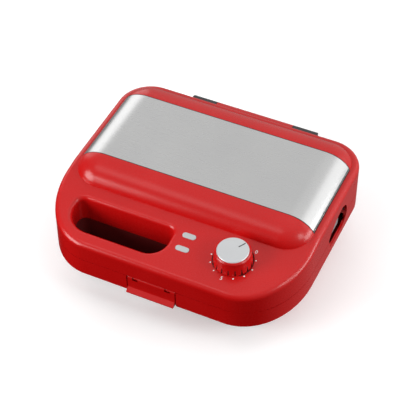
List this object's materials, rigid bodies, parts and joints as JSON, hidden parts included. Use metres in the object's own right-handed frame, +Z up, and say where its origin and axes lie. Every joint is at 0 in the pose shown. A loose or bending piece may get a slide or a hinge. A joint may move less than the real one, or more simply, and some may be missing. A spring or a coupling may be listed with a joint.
{
  "type": "sandwich and waffle maker",
  "caption": "Countertop waffle and sandwich maker: hinged red lid with a steel top skin, timer dial, lamps, front latch and a hand hole through both halves.",
  "frame": {"origin": "middle of the whole object's box, on the resting plane of the feet", "axes": "+X along the width to the right, +Y to the hinge at the back, +Z up; the latch faces -Y"},
  "size_m": [0.252, 0.2398, 0.0986],
  "materials": {
    "red_shell": "satin moulded plastic",
    "dark_plastic": "fine matt moulded plastic",
    "steel_skin": "satin brushed stainless sheet",
    "plain_steel": "plain rolled and drawn steel",
    "coated_plate": "cast aluminium with a grey non-stick coat",
    "rubber": "matt rubber",
    "lamp_lens": "translucent pale lens",
    "knob_metal": "satin anodised disc with a bright bevel",
    "circuit_board": "glass-fibre board with lamp blocks"
  },
  "bodies": {
    "base": {"base_shell": "red_shell", "bottom_cover": "dark_plastic", "bottom_screws": "plain_steel", "rubber_feet": "rubber", "lower_plate": "coated_plate", "lower_pan": "plain_steel", "lower_heater": "plain_steel", "lower_heater_clips": "plain_steel", "lower_thermostat": "plain_steel", "thermal_fuse": "plain_steel", "terminal_block": "dark_plastic", "cord_gland": "rubber", "left_hinge_stand": "dark_plastic", "right_hinge_stand": "dark_plastic", "hinge_pin": "plain_steel", "latch_catch": "plain_steel"},
    "lid": {"lid_shell": "red_shell", "steel_panel": "steel_skin", "panel_foam": "dark_plastic", "lid_liner": "dark_plastic", "lid_screws": "plain_steel", "upper_plate": "coated_plate", "upper_pan": "plain_steel", "upper_heater": "plain_steel", "upper_heater_clips": "plain_steel", "upper_thermostat": "plain_steel", "hinge_bushes": "dark_plastic", "timer_body": "dark_plastic", "lamp_board": "circuit_board", "ready_lamp_lens": "lamp_lens", "power_lamp_lens": "lamp_lens"},
    "front_latch": {"latch": "red_shell", "latch_pin": "plain_steel"},
    "dial": {"timer_knob": "red_shell", "knob_cap": "knob_metal", "timer_shaft": "plain_steel"},
    "lower_release": {"lower_plate_release": "red_shell"},
    "upper_release": {"upper_plate_release": "red_shell"}
  },
  "joints": [
    {"name": "lid_hinge", "type": "hinge", "parent": "base", "child": "lid", "pos_m": [0, 0.11088, 0.0613], "axis": [-1, 0, 0], "range_deg": [0, 100]},
    {"name": "latch_pivot", "type": "hinge", "parent": "lid", "child": "front_latch", "pos_m": [-0.0016, -0.11347, 0.0493], "axis": [-1, 0, 0], "range_deg": [0, 75]},
    {"name": "timer_turn", "type": "hinge", "parent": "lid", "child": "dial", "pos_m": [0.0629, -0.07883, 0.07764], "axis": [0, -0.0523, 0.9986], "range_deg": [-225, 0]},
    {"name": "lower_release_slide", "type": "slide", "parent": "base", "child": "lower_release", "axis": [0, -1, 0], "range_m": [0, 0.0035], "stiffness_N_per_m": 150},
    {"name": "upper_release_slide", "type": "slide", "parent": "lid", "child": "upper_release", "axis": [0, -1, 0], "range_m": [0, 0.0035], "stiffness_N_per_m": 150}
  ]
}
